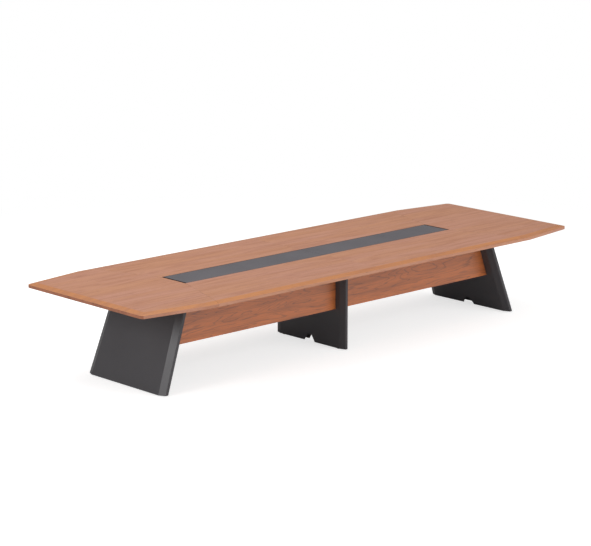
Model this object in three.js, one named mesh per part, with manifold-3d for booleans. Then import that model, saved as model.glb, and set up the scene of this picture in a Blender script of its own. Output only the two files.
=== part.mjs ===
// Conference table: bevelled wood top, hinged lids over a cable slot, wood aprons and folded steel legs.
// Millimetres. X runs along the table, Y across it from front to back, Z up from the floor.
import * as THREE from 'three';
import { ConvexGeometry } from 'three/addons/geometries/ConvexGeometry.js';
import { mergeVertices } from 'three/addons/utils/BufferGeometryUtils.js';
import Module from 'manifold-3d';

const wasm = await Module();
wasm.setup();

// Whole table
const TABLE_LENGTH = 4800;
const TABLE_WIDTH = 1600;
const TABLE_HEIGHT = 760;

// Tabletop: straight sides that taper to narrower ends, and a wide shallow bevel over a square edge
const TAPER_LENGTH = 575;
const TAPER_DEPTH = 92;
const CORNER_RADIUS = 35;
const CORNER_STEPS = 6;
const TOP_THICK = 36;
const BEVEL_RUN = 60;
const BEVEL_DROP = 12;

// Joints of the six top panels: one across the middle, and one from each slot corner out to the edge
const SEAM_TO_BEND = 95;
const SEAM_GAP = 0.3;
const SEAM_PLATE_LENGTH = 160;
const SEAM_PLATE_WIDTH = 60;
const SEAM_PLATE_THICK = 4;
const SEAM_PLATE_SHARE = 0.65;

// Cable slot down the middle of the top, with a ledge along each side that carries the lids
const SLOT_WIDTH = 292;
const SLOT_TO_LEG = 168;
const LEDGE_WIDTH = 20;
const LID_THICK = 18;
const LID_FRONT_GAP = 3;
const LID_END_GAP = 18;
const LID_MEETING_GAP = 1.5;

// Continuous hinge along the back of each lid
const BARREL_RADIUS = 3;
const BARREL_SIDES = 16;
const PIN_RADIUS = 1.3;
const PIN_CLEARANCE = 0.2;
const LEAF_THICK = 1.5;
const LEAF_SETBACK = 0.5;
const LEAF_CLEARANCE = 0.4;
const KNUCKLE_COUNT = 9;
const KNUCKLE_GAP = 0.5;

// Cable trays hung under the slot
const TRAY_DEPTH = 110;
const TRAY_WALL = 2;
const TRAY_FLANGE = 25;
const TRAY_SIDE_MARGIN = 4;
const TRAY_LEG_GAP = 20;

// Legs: folded shells with chamfered long edges, each closed by a flat cover
const END_FACE_WIDTH = 738;
const MIDDLE_FACE_WIDTH = 717;
const MIDDLE_THICK = 60;
const MIDDLE_CHAMFER_ALONG = 18;
const MIDDLE_CHAMFER_ACROSS = 54;
const END_THICK = 80;
const END_CHAMFER_ALONG = 26;
const END_CHAMFER_ACROSS = 56;
const END_LEG_INSET = 648;
const END_LEAN_DEGREES = 20;
const END_FLARE_DEGREES = 3.4;
const LEG_WALL = 3;
const COVER_THICK = 3;
const COVER_LIP = 40;
const PLATE_THICK = 6;
const FLOOR_PLATE_THICK = 10;
const FLOOR_PLATE_LENGTH = 160;
const FIT_GAP = 0.3;

// Cable ways: a notch at the floor and a round pass hole near the top of a leg
const NOTCH_FOOT_WIDTH = 124;
const NOTCH_TOP_WIDTH = 48;
const NOTCH_HEIGHT = 58;
const PASS_HOLE_RADIUS = 30;
const PASS_HOLE_DROP = 90;
const PASS_HOLE_SIDES = 24;

// Levelling feet
const FOOT_PAD_RADIUS = 22;
const FOOT_PAD_HEIGHT = 6;
const FOOT_PAD_EDGE = 1;
const FOOT_STUD_RADIUS = 5;
const FOOT_STUD_LENGTH = 55;
const FOOT_STUD_CLEARANCE = 0.5;
const FOOT_SETBACK = 30;
const ROUND_SIDES = 24;

// Aprons, and the angle brackets that hold them to the legs
const APRON_HEIGHT = 390;
const APRON_THICK = 25;
const APRON_SETBACK = 58;
const BRACKET_HEIGHT = 120;
const BRACKET_WIDTH = 40;
const BRACKET_THICK = 3;
const BRACKET_DROP = 60;

// Wood screws up into the top through the leg plates
const SCREW_HEAD_RADIUS = 6;
const SCREW_HEAD_HEIGHT = 4;
const SCREW_SHANK_RADIUS = 2.5;
const SCREW_BITE = 20;
const SCREW_CLEARANCE = 0.3;
const SCREW_SIDES = 12;
const END_SCREW_INNER_SHARE = 0.2;
const END_SCREW_OUTER_SHARE = 0.43;
const MIDDLE_SCREW_INSET = 15;
const MIDDLE_SCREW_SHARE = 0.34;

// How far a cutting tool runs past the face it cuts
const PAST = 5;

// Heights and places that follow from the sizes above
const underside = TABLE_HEIGHT - TOP_THICK;
const lidBottom = TABLE_HEIGHT - LID_THICK;
const legTop = underside - PLATE_THICK;
const legBottom = FOOT_PAD_HEIGHT;
const endOuterX = TABLE_LENGTH / 2 - END_LEG_INSET;
const endInnerX = endOuterX - END_THICK;
const slotEnd = endInnerX - SLOT_TO_LEG;
const slotSide = SLOT_WIDTH / 2;
const seamEdgeX = TABLE_LENGTH / 2 - TAPER_LENGTH - SEAM_TO_BEND;
const seamEdgeY = TABLE_WIDTH / 2;
const hingeOffset = BARREL_RADIUS + LEAF_SETBACK;
const hingeY = slotSide - hingeOffset;
const hingeZ = TABLE_HEIGHT - BARREL_RADIUS;
const lidNearX = LID_MEETING_GAP / 2;
const lidFarX = slotEnd - LID_END_GAP;
const apronFace = END_FACE_WIDTH / 2 - APRON_SETBACK;
const apronInside = apronFace - APRON_THICK;
const apronBottom = underside - APRON_HEIGHT;

// Finishes, one material for each piece
const FINISHES = {
  topWood: { color: 0xba8976, roughness: 0.45, metalness: 0 },
  apronWood: { color: 0x9b644d, roughness: 0.5, metalness: 0 },
  lidPaint: { color: 0x6a6a6c, roughness: 0.5, metalness: 0.1 },
  legPaint: { color: 0x464447, roughness: 0.45, metalness: 0.3 },
  greySteel: { color: 0x8c8f92, roughness: 0.4, metalness: 0.8 },
  brightSteel: { color: 0xc4c6c8, roughness: 0.3, metalness: 0.9 },
  blackPlastic: { color: 0x202022, roughness: 0.6, metalness: 0 },
};

// Solids: three.js geometry in, closed manifold out, and back again

function solidOf(geometry) {
  geometry.deleteAttribute('normal');
  geometry.deleteAttribute('uv');
  const merged = mergeVertices(geometry);
  return new wasm.Manifold(new wasm.Mesh({
    numProp: 3,
    vertProperties: new Float32Array(merged.attributes.position.array),
    triVerts: new Uint32Array(merged.index.array),
  }));
}

function geometryOf(solid) {
  const { vertProperties, triVerts } = solid.getMesh();
  const geometry = new THREE.BufferGeometry();
  geometry.setAttribute('position', new THREE.BufferAttribute(vertProperties, 3));
  geometry.setIndex(new THREE.BufferAttribute(triVerts, 1));
  return geometry;
}

function hull(points) {
  return solidOf(new ConvexGeometry(points.map(([x, y, z]) => new THREE.Vector3(x, y, z))));
}

function block([x0, x1], [y0, y1], [z0, z1]) {
  const box = new THREE.BoxGeometry(Math.abs(x1 - x0), Math.abs(y1 - y0), Math.abs(z1 - z0));
  return solidOf(box.translate((x0 + x1) / 2, (y0 + y1) / 2, (z0 + z1) / 2));
}

function shapeOf(points) {
  return new THREE.Shape(points.map(([u, v]) => new THREE.Vector2(u, v)));
}

function extrudeUp(outline, z0, z1) {
  const geometry = new THREE.ExtrudeGeometry(shapeOf(outline), { depth: z1 - z0, bevelEnabled: false });
  return solidOf(geometry.translate(0, 0, z0));
}

function extrudeAlongX(outlineYZ, x0, x1) {
  const geometry = new THREE.ExtrudeGeometry(shapeOf(outlineYZ), { depth: x1 - x0, bevelEnabled: false });
  geometry.applyMatrix4(new THREE.Matrix4().makeBasis(
    new THREE.Vector3(0, 1, 0), new THREE.Vector3(0, 0, 1), new THREE.Vector3(1, 0, 0)));
  return solidOf(geometry.translate(x0, 0, 0));
}

function rodUp(x, y, z0, z1, radius, sides) {
  const geometry = new THREE.CylinderGeometry(radius, radius, z1 - z0, sides);
  return solidOf(geometry.rotateX(Math.PI / 2).translate(x, y, (z0 + z1) / 2));
}

function rodAlongX(x0, x1, y, z, radius, sides) {
  const geometry = new THREE.CylinderGeometry(radius, radius, x1 - x0, sides);
  return solidOf(geometry.rotateZ(Math.PI / 2).translate((x0 + x1) / 2, y, z));
}

function turned(profile, sides) {
  const points = profile.map(([radius, height]) => new THREE.Vector2(radius, height));
  return solidOf(new THREE.LatheGeometry(points, sides).rotateX(Math.PI / 2));
}

function ordered(side, near, far) {
  return side > 0 ? [near, far] : [-far, -near];
}

// Plan outlines

function insetLoop(loop, distance) {
  const lines = loop.map(([x, y], i) => {
    const [nextX, nextY] = loop[(i + 1) % loop.length];
    const length = Math.hypot(nextX - x, nextY - y);
    const normal = [-(nextY - y) / length, (nextX - x) / length];
    return { normal, reach: normal[0] * x + normal[1] * y + distance };
  });
  return lines.map((line, i) => {
    const before = lines[(i + lines.length - 1) % lines.length];
    const cross = before.normal[0] * line.normal[1] - before.normal[1] * line.normal[0];
    const x = (before.reach * line.normal[1] - line.reach * before.normal[1]) / cross;
    const y = (line.reach * before.normal[0] - before.reach * line.normal[0]) / cross;
    return [x, y];
  });
}

function roundedCorner(before, corner, after, radius, steps) {
  const at = new THREE.Vector2(...corner);
  const toBefore = new THREE.Vector2(...before).sub(at).normalize();
  const toAfter = new THREE.Vector2(...after).sub(at).normalize();
  const half = Math.acos(toBefore.dot(toAfter)) / 2;
  const middle = toBefore.clone().add(toAfter).normalize();
  const centre = at.clone().addScaledVector(middle, radius / Math.sin(half));
  const start = at.clone().addScaledVector(toBefore, radius / Math.tan(half)).sub(centre);
  const sweep = Math.PI - 2 * half;
  return Array.from({ length: steps + 1 }, (_, i) => {
    const spoke = start.clone().rotateAround(new THREE.Vector2(), (sweep * i) / steps).add(centre);
    return [spoke.x, spoke.y];
  });
}

function topCorners() {
  const end = TABLE_LENGTH / 2;
  const side = TABLE_WIDTH / 2;
  const bend = end - TAPER_LENGTH;
  const narrow = side - TAPER_DEPTH;
  return [
    [bend, -side], [end, -narrow], [end, narrow], [bend, side],
    [-bend, side], [-end, narrow], [-end, -narrow], [-bend, -side],
  ];
}

// One half of the top, before it is cut into panels

function tabletopHalf(side) {
  const corners = topCorners();
  const [frontBend, frontTip, backTip, backBend] = corners;
  const edge = [
    [0, -TABLE_WIDTH / 2],
    frontBend,
    ...roundedCorner(frontBend, frontTip, backTip, CORNER_RADIUS, CORNER_STEPS),
    ...roundedCorner(frontTip, backTip, backBend, CORNER_RADIUS, CORNER_STEPS),
    backBend,
    [0, TABLE_WIDTH / 2],
  ];
  const flatSide = TABLE_WIDTH / 2 - BEVEL_RUN;
  const flat = [[0, -flatSide], ...insetLoop(corners, BEVEL_RUN).slice(0, 4), [0, flatSide]];
  const at = (loop, z) => loop.map(([x, y]) => [side * x, y, z]);
  const panel = hull([
    ...at(edge, underside),
    ...at(edge, TABLE_HEIGHT - BEVEL_DROP),
    ...at(flat, TABLE_HEIGHT),
  ]);
  const pilots = [...endScrews(side), ...middleScrews()].filter(([x]) => Math.sign(x) === side);
  return pilots.reduce(
    (solid, [x, y]) => solid.subtract(rodUp(
      x, y, underside - PAST, underside + SCREW_BITE + SCREW_CLEARANCE,
      SCREW_SHANK_RADIUS + SCREW_CLEARANCE, SCREW_SIDES)),
    panel);
}

// Panels of the top: an end beyond the diagonal joints, and two sides between them, parted by the slot

function seamX(y) {
  return slotEnd + ((seamEdgeX - slotEnd) * (y - slotSide)) / (seamEdgeY - slotSide);
}

function betweenSeams(side, gap) {
  const beyond = seamEdgeY + PAST;
  const outline = [
    [-PAST, -beyond],
    [seamX(beyond) + gap, -beyond],
    [slotEnd + gap, -slotSide],
    [slotEnd + gap, slotSide],
    [seamX(beyond) + gap, beyond],
    [-PAST, beyond],
  ];
  return extrudeUp(outline.map(([x, y]) => [side * x, y]), underside - PAST, TABLE_HEIGHT + PAST);
}

function endPanel(side) {
  return tabletopHalf(side).subtract(betweenSeams(side, SEAM_GAP));
}

function sidePanel(side, frontOrBack) {
  const alongX = ordered(side, -PAST, slotEnd + PAST);
  const ledgeY = ordered(frontOrBack, -PAST, slotSide);
  const openY = ordered(frontOrBack, -PAST, slotSide - LEDGE_WIDTH);
  const quarter = block(
    ordered(side, -PAST, TABLE_LENGTH),
    ordered(frontOrBack, 0, TABLE_WIDTH),
    [underside - PAST, TABLE_HEIGHT + PAST]);
  return tabletopHalf(side)
    .intersect(betweenSeams(side, 0))
    .intersect(quarter)
    .subtract(block(alongX, ledgeY, [lidBottom, TABLE_HEIGHT + PAST]))
    .subtract(block(alongX, openY, [underside - PAST, TABLE_HEIGHT]));
}

function seamPlate(side, frontOrBack) {
  const y = slotSide + SEAM_PLATE_SHARE * (seamEdgeY - slotSide);
  const slant = Math.atan2(seamEdgeX - slotEnd, seamEdgeY - slotSide);
  const plate = new THREE.BoxGeometry(SEAM_PLATE_LENGTH, SEAM_PLATE_WIDTH, SEAM_PLATE_THICK);
  plate.rotateZ(-side * frontOrBack * slant);
  return solidOf(plate.translate(side * seamX(y), frontOrBack * y, underside - SEAM_PLATE_THICK / 2));
}

// Lids and their continuous hinges

function lid(side) {
  return block(
    ordered(side, lidNearX, lidFarX),
    [-slotSide + LID_FRONT_GAP, hingeY - hingeOffset],
    [lidBottom, TABLE_HEIGHT]);
}

function knuckleSpan(index) {
  const pitch = (lidFarX - lidNearX) / KNUCKLE_COUNT;
  const start = lidNearX + pitch * index;
  return [start + KNUCKLE_GAP / 2, start + pitch - KNUCKLE_GAP / 2];
}

function hingeLeaf(side, moving) {
  const toward = moving ? -1 : 1;
  const outerY = hingeY + toward * hingeOffset;
  const plateY = [outerY, outerY - toward * LEAF_THICK].sort((a, b) => a - b);
  const plateTop = hingeZ - BARREL_RADIUS - LEAF_CLEARANCE;
  let leaf = block(ordered(side, lidNearX, lidFarX), plateY, [lidBottom + LEAF_CLEARANCE, plateTop]);
  for (let index = moving ? 1 : 0; index < KNUCKLE_COUNT; index += 2) {
    const span = ordered(side, ...knuckleSpan(index));
    leaf = leaf.add(block(span, plateY, [plateTop - LEAF_THICK, hingeZ]));
    leaf = leaf.add(rodAlongX(...span, hingeY, hingeZ, BARREL_RADIUS, BARREL_SIDES));
  }
  const boreX = ordered(side, lidNearX - PAST, lidFarX + PAST);
  return leaf.subtract(rodAlongX(...boreX, hingeY, hingeZ, PIN_RADIUS + PIN_CLEARANCE, BARREL_SIDES));
}

function hingePin(side) {
  return rodAlongX(...ordered(side, lidNearX, lidFarX), hingeY, hingeZ, PIN_RADIUS, BARREL_SIDES);
}

// Cable trays

function cableTray(side) {
  const inside = slotSide - LEDGE_WIDTH + TRAY_SIDE_MARGIN;
  const outside = inside + TRAY_WALL;
  const flange = outside + TRAY_FLANGE;
  const below = underside - TRAY_WALL;
  const bottom = underside - TRAY_DEPTH;
  const section = [
    [-flange, underside], [-flange, below], [-outside, below], [-outside, bottom],
    [outside, bottom], [outside, below], [flange, below], [flange, underside],
    [inside, underside], [inside, bottom + TRAY_WALL],
    [-inside, bottom + TRAY_WALL], [-inside, underside],
  ];
  return extrudeAlongX(section, ...ordered(side, MIDDLE_THICK / 2 + TRAY_LEG_GAP, slotEnd));
}

// Legs: outerX is the outer face at the underside of the top; the cover is on the inner face

const tangent = (degrees) => Math.tan(THREE.MathUtils.degToRad(degrees));

const MIDDLE_LEG = {
  faceWidth: MIDDLE_FACE_WIDTH,
  outerX: MIDDLE_THICK / 2,
  thick: MIDDLE_THICK,
  along: MIDDLE_CHAMFER_ALONG,
  across: MIDDLE_CHAMFER_ACROSS,
  lean: 0,
  flare: 0,
  notchOutside: true,
};

const END_LEG = {
  faceWidth: END_FACE_WIDTH,
  outerX: endOuterX,
  thick: END_THICK,
  along: END_CHAMFER_ALONG,
  across: END_CHAMFER_ACROSS,
  lean: tangent(END_LEAN_DEGREES),
  flare: tangent(END_FLARE_DEGREES),
  notchOutside: false,
};

function innerFaceX(leg, z) {
  return leg.outerX - leg.thick + leg.lean * (underside - z);
}

function faceHalfWidth(leg, z) {
  return leg.faceWidth / 2 + leg.flare * (underside - z);
}

function legSection(leg, z) {
  const inner = innerFaceX(leg, z);
  const outer = inner + leg.thick;
  const half = faceHalfWidth(leg, z);
  const front = half + leg.across;
  return [
    [outer, -half], [outer, half], [outer - leg.along, front], [inner + leg.along, front],
    [inner, half], [inner, -half], [inner + leg.along, -front], [outer - leg.along, -front],
  ];
}

function legVolume(leg, side, inset, z0, z1) {
  const ring = (z) => insetLoop(legSection(leg, z), inset).map(([x, y]) => [side * x, y, z]);
  return hull([...ring(z0), ...ring(z1)]);
}

// A slab that leans with the inner face, from one depth behind that face to another

function faceSlab(leg, side, [from, to], [y0, y1], [z0, z1]) {
  const corners = [];
  for (const z of [z0, z1]) {
    for (const depth of [from, to]) {
      const x = side * (innerFaceX(leg, z) + depth);
      corners.push([x, y0, z], [x, y1, z]);
    }
  }
  return hull(corners);
}

function widest(leg) {
  return faceHalfWidth(leg, legBottom) + leg.across + PAST;
}

function notchCut(x0, x1) {
  const sideRise = (NOTCH_FOOT_WIDTH - NOTCH_TOP_WIDTH) / 2 / NOTCH_HEIGHT;
  const foot = NOTCH_FOOT_WIDTH / 2 + sideRise * PAST;
  const top = NOTCH_TOP_WIDTH / 2;
  const below = legBottom - PAST;
  const crown = legBottom + NOTCH_HEIGHT;
  return extrudeAlongX([[-foot, below], [foot, below], [top, crown], [-top, crown]], x0, x1);
}

function passHoleCut(x0, x1) {
  return rodAlongX(x0, x1, 0, underside - PASS_HOLE_DROP, PASS_HOLE_RADIUS, PASS_HOLE_SIDES);
}

function footPlace(leg, side, frontOrBack) {
  const x = side * (innerFaceX(leg, legBottom) + leg.thick / 2);
  return [x, frontOrBack * (faceHalfWidth(leg, legBottom) - FOOT_SETBACK)];
}

function legShell(leg, side) {
  const reach = widest(leg);
  const zPast = [legBottom - PAST, legTop + PAST];
  const lipBack = COVER_THICK + FIT_GAP + LEG_WALL;
  const floorEdge = faceHalfWidth(leg, legBottom) + leg.across - FLOOR_PLATE_LENGTH;
  const windowHalf = leg.faceWidth / 2 - COVER_LIP;
  const outermost = innerFaceX(leg, legBottom) + leg.thick;
  const spanX = ordered(side, innerFaceX(leg, legTop) - PAST, outermost + PAST);
  let cavity = legVolume(leg, side, LEG_WALL, ...zPast);
  cavity = cavity.subtract(faceSlab(leg, side, [-leg.thick, lipBack], [-reach, reach], zPast));
  for (const end of [-1, 1]) {
    const plateY = ordered(end, floorEdge, reach);
    cavity = cavity.subtract(block(spanX, plateY, [legBottom - PAST, legBottom + FLOOR_PLATE_THICK]));
  }
  let shell = legVolume(leg, side, 0, legBottom, legTop).subtract(cavity);
  shell = shell.subtract(faceSlab(leg, side, [-PAST, COVER_THICK + FIT_GAP], [-reach, reach], zPast));
  shell = shell.subtract(faceSlab(
    leg, side, [-PAST, lipBack + PAST], [-windowHalf, windowHalf], [legBottom - PAST, legTop - COVER_LIP]));
  for (const end of [-1, 1]) {
    const [x, y] = footPlace(leg, side, end);
    shell = shell.subtract(rodUp(
      x, y, legBottom - PAST, legBottom + FLOOR_PLATE_THICK + PAST,
      FOOT_STUD_RADIUS + FOOT_STUD_CLEARANCE, ROUND_SIDES));
  }
  if (leg.notchOutside) {
    shell = shell.subtract(notchCut(...spanX)).subtract(passHoleCut(...spanX));
  }
  return shell;
}

function legCover(leg, side) {
  const reach = widest(leg);
  const zPast = [legBottom - PAST, legTop + PAST];
  const outermost = innerFaceX(leg, legBottom) + COVER_THICK;
  const spanX = ordered(side, innerFaceX(leg, legTop) - PAST, outermost + PAST);
  return legVolume(leg, side, 0, legBottom, legTop)
    .intersect(faceSlab(leg, side, [-PAST, COVER_THICK], [-reach, reach], zPast))
    .subtract(notchCut(...spanX))
    .subtract(passHoleCut(...spanX));
}

function legPlate(leg, side, screws) {
  const outline = legSection(leg, legTop).map(([x, y]) => [side * x, y]);
  return screws.reduce(
    (plate, [x, y]) => plate.subtract(rodUp(
      x, y, legTop - PAST, underside + PAST, SCREW_SHANK_RADIUS + SCREW_CLEARANCE, SCREW_SIDES)),
    extrudeUp(outline, legTop, underside));
}

// Levelling feet, standing on the floor with the pad up against the leg

function foot() {
  return turned([
    [0, 0],
    [FOOT_PAD_RADIUS - FOOT_PAD_EDGE, 0],
    [FOOT_PAD_RADIUS, FOOT_PAD_EDGE],
    [FOOT_PAD_RADIUS, FOOT_PAD_HEIGHT],
    [FOOT_STUD_RADIUS, FOOT_PAD_HEIGHT],
    [FOOT_STUD_RADIUS, FOOT_PAD_HEIGHT + FOOT_STUD_LENGTH],
    [0, FOOT_PAD_HEIGHT + FOOT_STUD_LENGTH],
  ], ROUND_SIDES);
}

// Aprons and angle brackets

function apron(side, frontOrBack) {
  const [y0, y1] = ordered(frontOrBack, apronInside, apronFace);
  const corners = [];
  for (const z of [apronBottom, underside]) {
    for (const x of [MIDDLE_THICK / 2, innerFaceX(END_LEG, z) - FIT_GAP]) {
      corners.push([side * x, y0, z], [side * x, y1, z]);
    }
  }
  return hull(corners);
}

function bracket(side, frontOrBack, atEndLeg) {
  const top = underside - BRACKET_DROP;
  const away = atEndLeg ? -1 : 1;
  const faceX = (z) => (atEndLeg ? innerFaceX(END_LEG, z) - FIT_GAP : MIDDLE_THICK / 2);
  const flange = (along, across) => {
    const corners = [];
    for (const z of [top - BRACKET_HEIGHT, top]) {
      for (const x of [faceX(z), faceX(z) + away * along]) {
        for (const y of [apronInside, apronInside - across]) {
          corners.push([side * x, frontOrBack * y, z]);
        }
      }
    }
    return hull(corners);
  };
  return flange(BRACKET_WIDTH, BRACKET_THICK).add(flange(BRACKET_THICK, BRACKET_WIDTH));
}

// Screws, with the places of each leg's screws in plan

function endScrews(side) {
  const x = side * (endOuterX - END_THICK / 2);
  const shares = [-END_SCREW_OUTER_SHARE, -END_SCREW_INNER_SHARE, END_SCREW_INNER_SHARE, END_SCREW_OUTER_SHARE];
  return shares.map((share) => [x, share * END_FACE_WIDTH]);
}

function middleScrews() {
  const columns = [-MIDDLE_SCREW_INSET, MIDDLE_SCREW_INSET];
  const rows = [-MIDDLE_SCREW_SHARE * MIDDLE_FACE_WIDTH, MIDDLE_SCREW_SHARE * MIDDLE_FACE_WIDTH];
  return rows.flatMap((y) => columns.map((x) => [x, y]));
}

function screw() {
  const headFace = legTop - SCREW_HEAD_HEIGHT;
  const tip = underside + SCREW_BITE;
  return turned([
    [0, headFace],
    [SCREW_HEAD_RADIUS, headFace],
    [SCREW_HEAD_RADIUS, legTop],
    [SCREW_SHANK_RADIUS, legTop],
    [SCREW_SHANK_RADIUS, tip],
    [0, tip],
  ], SCREW_SIDES);
}

// Assembly

const table = new THREE.Group();

function add(name, solid, finish, x = 0, y = 0) {
  const mesh = new THREE.Mesh(geometryOf(solid), new THREE.MeshStandardMaterial(FINISHES[finish]));
  mesh.name = name;
  mesh.position.set(x, y, 0);
  table.add(mesh);
}

const SIDES = [['left', -1], ['right', 1]];
const DEPTHS = [['front', -1], ['back', 1]];

for (const [name, side] of SIDES) {
  add(`tabletop_end_${name}`, endPanel(side), 'topWood');
  add(`lid_${name}`, lid(side), 'lidPaint');
  add(`hinge_fixed_leaf_${name}`, hingeLeaf(side, false), 'greySteel');
  add(`hinge_moving_leaf_${name}`, hingeLeaf(side, true), 'greySteel');
  add(`hinge_pin_${name}`, hingePin(side), 'brightSteel');
  add(`cable_tray_${name}`, cableTray(side), 'legPaint');
  for (const [depthName, depth] of DEPTHS) {
    add(`tabletop_${depthName}_${name}`, sidePanel(side, depth), 'topWood');
    add(`seam_plate_${depthName}_${name}`, seamPlate(side, depth), 'greySteel');
    add(`apron_${depthName}_${name}`, apron(side, depth), 'apronWood');
    add(`bracket_middle_${depthName}_${name}`, bracket(side, depth, false), 'greySteel');
    add(`bracket_end_${depthName}_${name}`, bracket(side, depth, true), 'greySteel');
  }
}

const LEGS = [
  ['left', END_LEG, -1, endScrews(-1)],
  ['middle', MIDDLE_LEG, 1, middleScrews()],
  ['right', END_LEG, 1, endScrews(1)],
];

for (const [name, leg, side, screws] of LEGS) {
  add(`leg_${name}_shell`, legShell(leg, side), 'legPaint');
  add(`leg_${name}_cover`, legCover(leg, side), 'legPaint');
  add(`leg_${name}_plate`, legPlate(leg, side, screws), 'greySteel');
  screws.forEach((place, i) => add(`screw_${name}_${i + 1}`, screw(), 'brightSteel', ...place));
  for (const [depthName, depth] of DEPTHS) {
    add(`foot_${name}_${depthName}`, foot(), 'blackPlastic', ...footPlace(leg, side, depth));
  }
}

export default table;
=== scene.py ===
"""Looks of a conference table: veneered top and aprons, grey lids over a cable slot, and dark steel legs.

Metres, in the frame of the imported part: X along the table, Y from front to back, Z up from the floor.
"""
import math

import bmesh
import bpy
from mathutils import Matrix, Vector


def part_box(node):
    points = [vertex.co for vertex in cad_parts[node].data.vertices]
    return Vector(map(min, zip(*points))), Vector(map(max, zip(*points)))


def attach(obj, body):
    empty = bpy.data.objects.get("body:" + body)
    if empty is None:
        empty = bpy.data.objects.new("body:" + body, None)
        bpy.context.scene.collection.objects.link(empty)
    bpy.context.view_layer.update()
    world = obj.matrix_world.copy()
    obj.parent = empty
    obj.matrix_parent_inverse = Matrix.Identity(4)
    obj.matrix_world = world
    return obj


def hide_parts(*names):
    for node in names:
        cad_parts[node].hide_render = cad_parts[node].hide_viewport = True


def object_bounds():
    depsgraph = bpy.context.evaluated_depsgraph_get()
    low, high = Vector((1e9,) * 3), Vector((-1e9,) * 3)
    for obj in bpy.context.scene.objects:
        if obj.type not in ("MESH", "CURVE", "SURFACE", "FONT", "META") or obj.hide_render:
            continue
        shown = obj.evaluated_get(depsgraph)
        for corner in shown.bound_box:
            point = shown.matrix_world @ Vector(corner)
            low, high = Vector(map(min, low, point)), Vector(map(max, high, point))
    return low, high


bl_info = {
    "name": "Conference table looks",
    "version": (1, 0, 0),
    "blender": (4, 5, 0),
    "location": "3D View > Sidebar > Table",
    "description": "Finishes, eased edges, hinges and fasteners of a conference table, with its studio",
    "category": "Object",
}

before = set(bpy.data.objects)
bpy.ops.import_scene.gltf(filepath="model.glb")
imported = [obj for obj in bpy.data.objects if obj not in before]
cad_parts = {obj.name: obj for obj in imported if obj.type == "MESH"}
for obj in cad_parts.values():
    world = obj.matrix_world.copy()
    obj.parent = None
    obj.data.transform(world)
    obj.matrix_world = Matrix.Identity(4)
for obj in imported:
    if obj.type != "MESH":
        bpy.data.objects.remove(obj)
CAD_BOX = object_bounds()

MM = 0.001
SIDES = ("left", "right")
DEPTHS = ("front", "back")
LEGS = ("left", "middle", "right")
SIGN = {"left": -1, "right": 1, "front": -1, "back": 1}
MERGE_DISTANCE = 0.01 * MM
FLAT_ANGLE = math.radians(0.4)
EASE_ANGLE = math.radians(10.5)
TURNED_ANGLE = math.radians(40)


# Settings that a user would change


class TableFinish(bpy.types.PropertyGroup):
    """Sizes and colours of the table's finishes"""

    wood_edge: bpy.props.FloatProperty(
        name="Wood edge", description="Radius that eases the edges of the wood panels",
        default=1.2 * MM, unit="LENGTH")
    lid_edge: bpy.props.FloatProperty(
        name="Lid edge", description="Radius on the edges of the lids",
        default=0.8 * MM, unit="LENGTH")
    fold_radius: bpy.props.FloatProperty(
        name="Fold radius", description="Outside radius where the leg sheet is folded",
        default=2.5 * MM, unit="LENGTH")
    sheet_edge: bpy.props.FloatProperty(
        name="Sheet edge", description="Radius on the cut edges of small steel pieces",
        default=0.5 * MM, unit="LENGTH")
    lipping_width: bpy.props.FloatProperty(
        name="Lipping width", description="How far in from the outline the solid wood edge reaches",
        default=11 * MM, unit="LENGTH")
    knuckle_pitch: bpy.props.FloatProperty(
        name="Knuckle pitch", description="Spacing of the knuckles along the continuous hinges",
        default=30 * MM, unit="LENGTH")
    knuckle_gap: bpy.props.FloatProperty(
        name="Knuckle gap", description="Gap between one knuckle and the next",
        default=0.5 * MM, unit="LENGTH")
    screw_head: bpy.props.FloatProperty(
        name="Screw head", description="Radius of a pan head",
        default=6 * MM, unit="LENGTH")
    veneer_light: bpy.props.StringProperty(
        name="Veneer, early wood", description="sRGB colour between the growth lines", default="#C68B68")
    veneer_blush: bpy.props.StringProperty(
        name="Veneer, blush", description="sRGB colour of the pinker patches", default="#C68D74")
    veneer_dark: bpy.props.StringProperty(
        name="Veneer, late wood", description="sRGB colour of the growth lines", default="#AB6F52")
    veneer_pore: bpy.props.StringProperty(
        name="Veneer, pores", description="sRGB colour of the pores", default="#86523A")
    lipping_colour: bpy.props.StringProperty(
        name="Lipping", description="sRGB colour of the solid wood edge", default="#C88450")
    apron_colour: bpy.props.StringProperty(
        name="Apron veneer", description="sRGB colour between the growth lines of the aprons",
        default="#D47535")
    apron_dark: bpy.props.StringProperty(
        name="Apron growth lines", description="sRGB colour of the growth lines of the aprons",
        default="#96502A")
    # Painted light: the long square edges are drawn paler than the top, as the front light falls on them.
    edge_lit_colour: bpy.props.StringProperty(
        name="Edge band", description="sRGB colour of the long square edges", default="#CE9678")
    # Painted shade: the square edges at the ends are drawn darker, as less light falls on them.
    end_shaded_colour: bpy.props.StringProperty(
        name="End edge, painted shade", description="sRGB colour of the square edges at the ends", default="#8E5A44")
    paint_colour: bpy.props.StringProperty(
        name="Leg paint", description="sRGB colour of the powder coat", default="#474548")
    lid_colour: bpy.props.StringProperty(
        name="Lid laminate", description="sRGB colour of the lids", default="#474348")


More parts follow.
